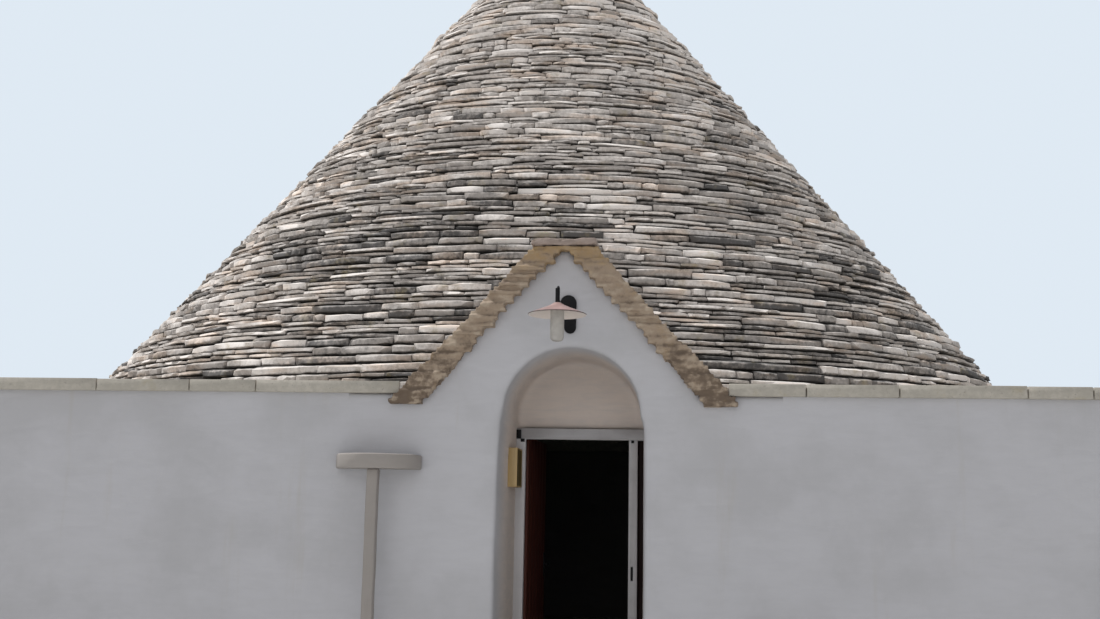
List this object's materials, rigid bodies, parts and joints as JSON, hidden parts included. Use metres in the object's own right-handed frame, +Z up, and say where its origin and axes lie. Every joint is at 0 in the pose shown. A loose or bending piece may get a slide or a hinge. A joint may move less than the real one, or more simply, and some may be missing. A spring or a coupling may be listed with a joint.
{
  "type": "trullo house",
  "caption": "Square whitewashed stone house with a stepped dry-stone cone roof, a gabled arched doorway and an inward-opening timber door.",
  "frame": {"origin": "on the cone's axis at ground level, on the underside of the floor slab", "axes": "+X to the right seen from the street, +Y into the house from the street front, +Z up"},
  "size_m": [9.1, 9.7002, 8.25],
  "materials": {
    "limewash": "matt, brushed",
    "limestone": "rough",
    "eaves_stone": "rough, weathered",
    "slate": "rough, weathered",
    "pinnacle_lime": "matt",
    "dark_timber": "oiled",
    "ironwork": "satin",
    "white_aluminium": "satin",
    "lamp_enamel": "satin",
    "frosted_glass": "frosted",
    "ochre_wood": "varnished"
  },
  "bodies": {
    "house": {"floor_slab": "limestone", "doorstep": "limestone", "front_wall_left": "limewash", "front_wall_right": "limewash", "left_wall": "limewash", "right_wall": "limewash", "back_wall": "limewash", "gable_wall": "limewash", "lunette_wall": "limewash", "door_lintel": "limestone", "corner_squinches": "limestone", "eaves_front_left": "eaves_stone", "eaves_front_right": "eaves_stone", "eaves_left": "eaves_stone", "eaves_right": "eaves_stone", "eaves_back": "eaves_stone", "cone_masonry_1": "limestone", "cone_masonry_2": "limestone", "cone_masonry_3": "limestone", "cone_masonry_4": "limestone", "cone_masonry_5": "limestone", "cone_masonry_6": "limestone", "cone_masonry_7": "limestone", "cone_masonry_8": "limestone", "dome_keystone": "limestone", "slates_lower": "slate", "slates_middle": "slate", "slates_upper": "slate", "pinnacle_drum": "pinnacle_lime", "pinnacle_dish": "pinnacle_lime", "pinnacle_ball": "pinnacle_lime", "coping_left": "eaves_stone", "coping_right": "eaves_stone", "gable_cap": "eaves_stone", "saddle_left": "slate", "saddle_right": "slate", "door_frame": "dark_timber", "door_hinges": "ironwork", "screen_frame": "white_aluminium", "screen_pull_bar": "white_aluminium", "lamp_plate": "ironwork", "lamp_arm": "ironwork", "lamp_shade": "lamp_enamel", "lamp_glass": "frosted_glass", "reveal_box": "ochre_wood", "shelf_slab": "limewash", "shelf_post": "limewash"},
    "door": {"door_leaf": "dark_timber", "door_handle": "ironwork", "leaf_hinges": "ironwork"}
  },
  "joints": [
    {"name": "door_swing", "type": "hinge", "parent": "house", "child": "door", "pos_m": [0.076, -3.547, 1], "axis": [0, 0, 1], "range_deg": [-86.5, 3.5]}
  ]
}
